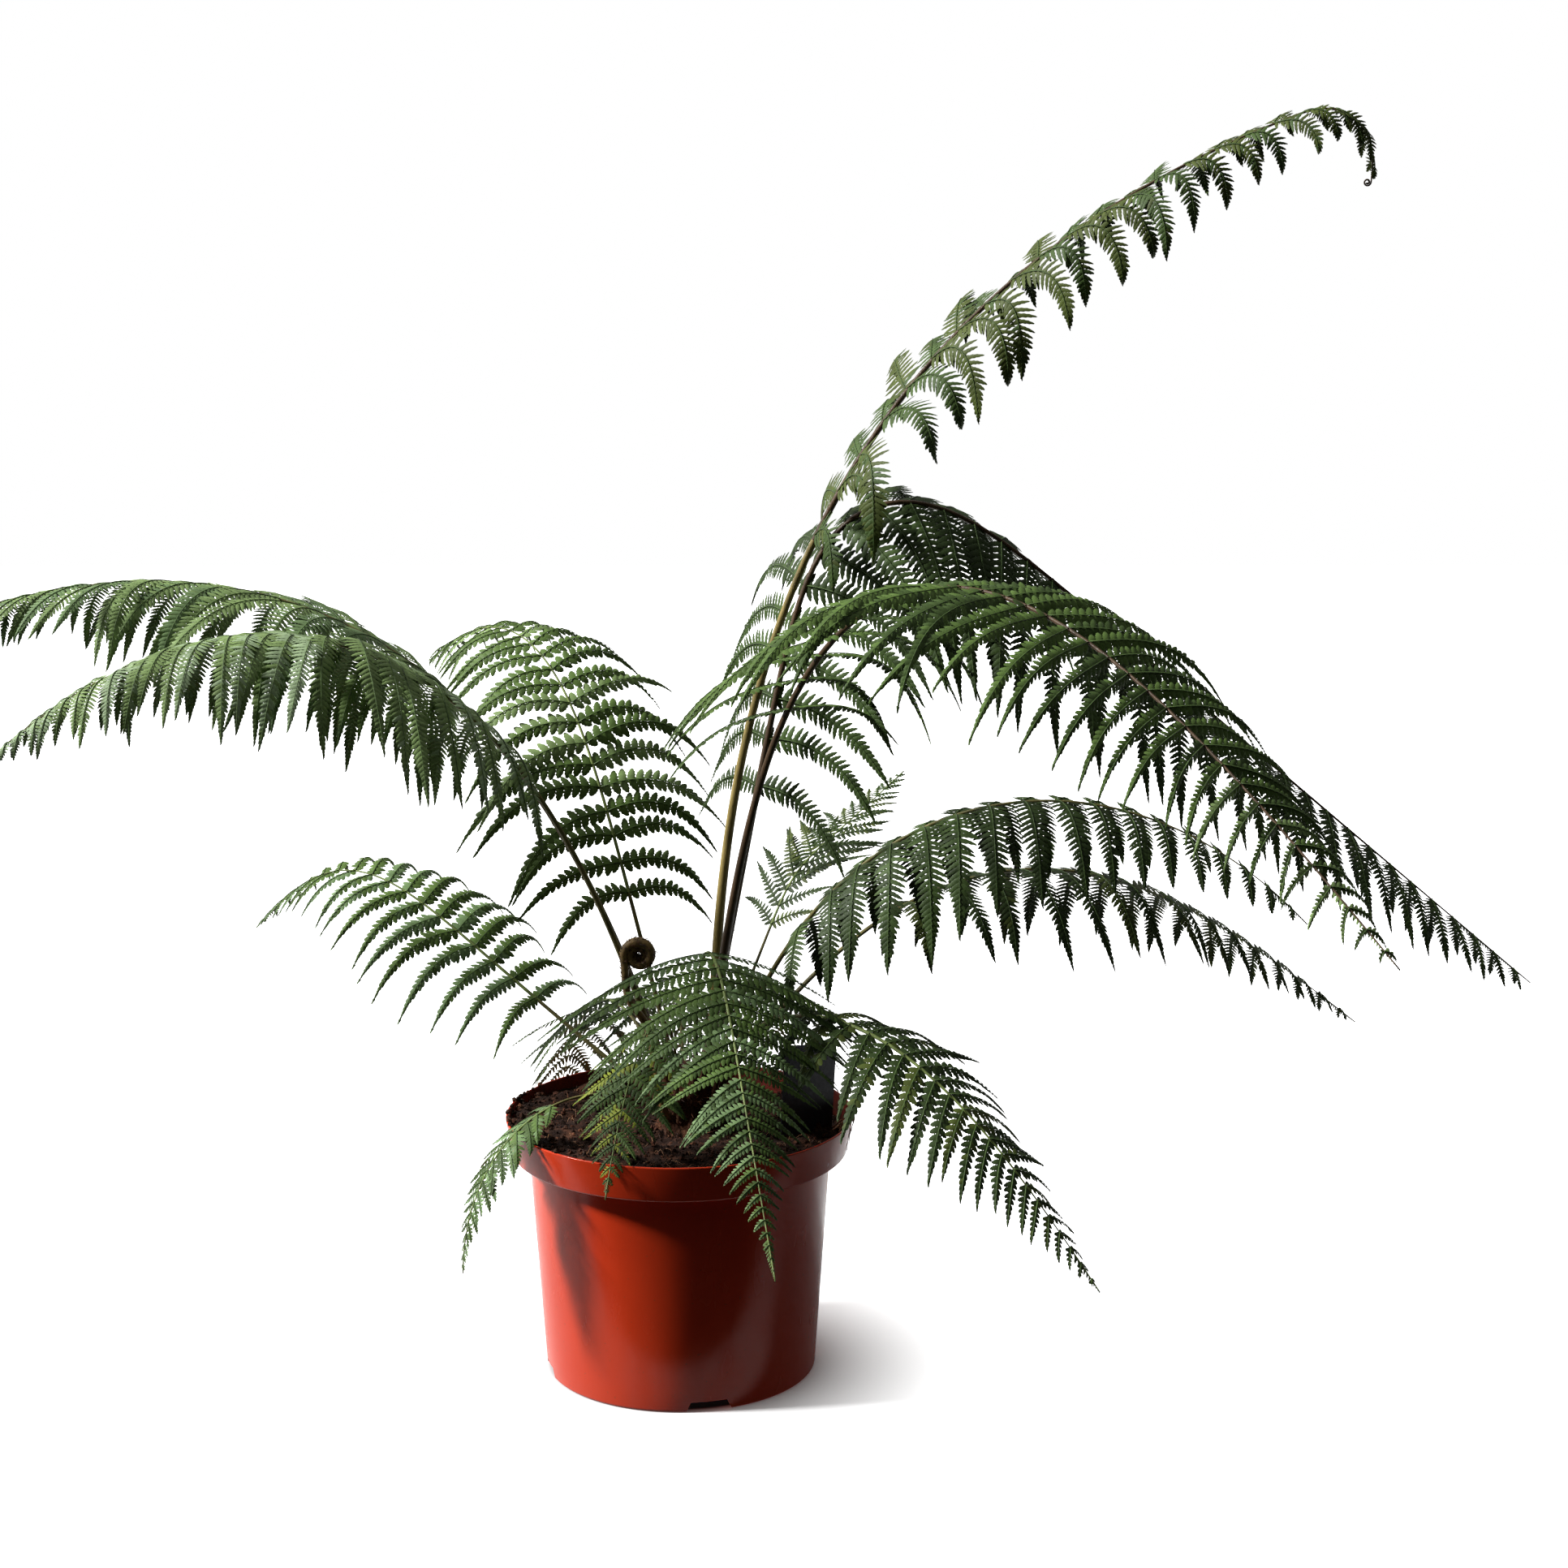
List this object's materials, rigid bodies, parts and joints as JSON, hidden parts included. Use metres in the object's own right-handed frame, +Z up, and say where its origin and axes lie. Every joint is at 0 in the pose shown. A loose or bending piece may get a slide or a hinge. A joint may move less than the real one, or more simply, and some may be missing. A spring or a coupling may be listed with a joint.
{
  "type": "potted tree fern",
  "caption": "Young tree fern in a round nursery pot with a flared collar: long arching feathery fronds from a short crown, a rolled-up crozier and a bare plant label.",
  "frame": {"origin": "centre of the pot's flat underside, on the surface that it stands on", "axes": "+Z up, +X towards the right of the picture, -Y towards its camera"},
  "size_m": [1.0339, 0.6611, 0.7862],
  "materials": {
    "pot_plastic": "gloss",
    "compost": "matte",
    "crown_fibre": "matte",
    "label_plastic": "satin",
    "crozier_scales": "matte",
    "frond_green": "satin"
  },
  "bodies": {
    "root": {"pot": "pot_plastic", "soil": "compost", "crown": "crown_fibre", "label": "label_plastic", "crozier": "crozier_scales", "frond_tall_right": "frond_green", "frond_near_right": "frond_green", "frond_long_left": "frond_green", "frond_near_left": "frond_green", "frond_far_right": "frond_green", "frond_low_right": "frond_green", "frond_low_right_back": "frond_green", "frond_back_left": "frond_green", "frond_small_left": "frond_green", "frond_front": "frond_green", "frond_front_right": "frond_green", "frond_young_right": "frond_green", "frond_front_small": "frond_green", "frond_front_left_small": "frond_green", "frond_back_low_right": "frond_green", "frond_back_low": "frond_green", "frond_back_low_left": "frond_green"}
  },
  "joints": []
}
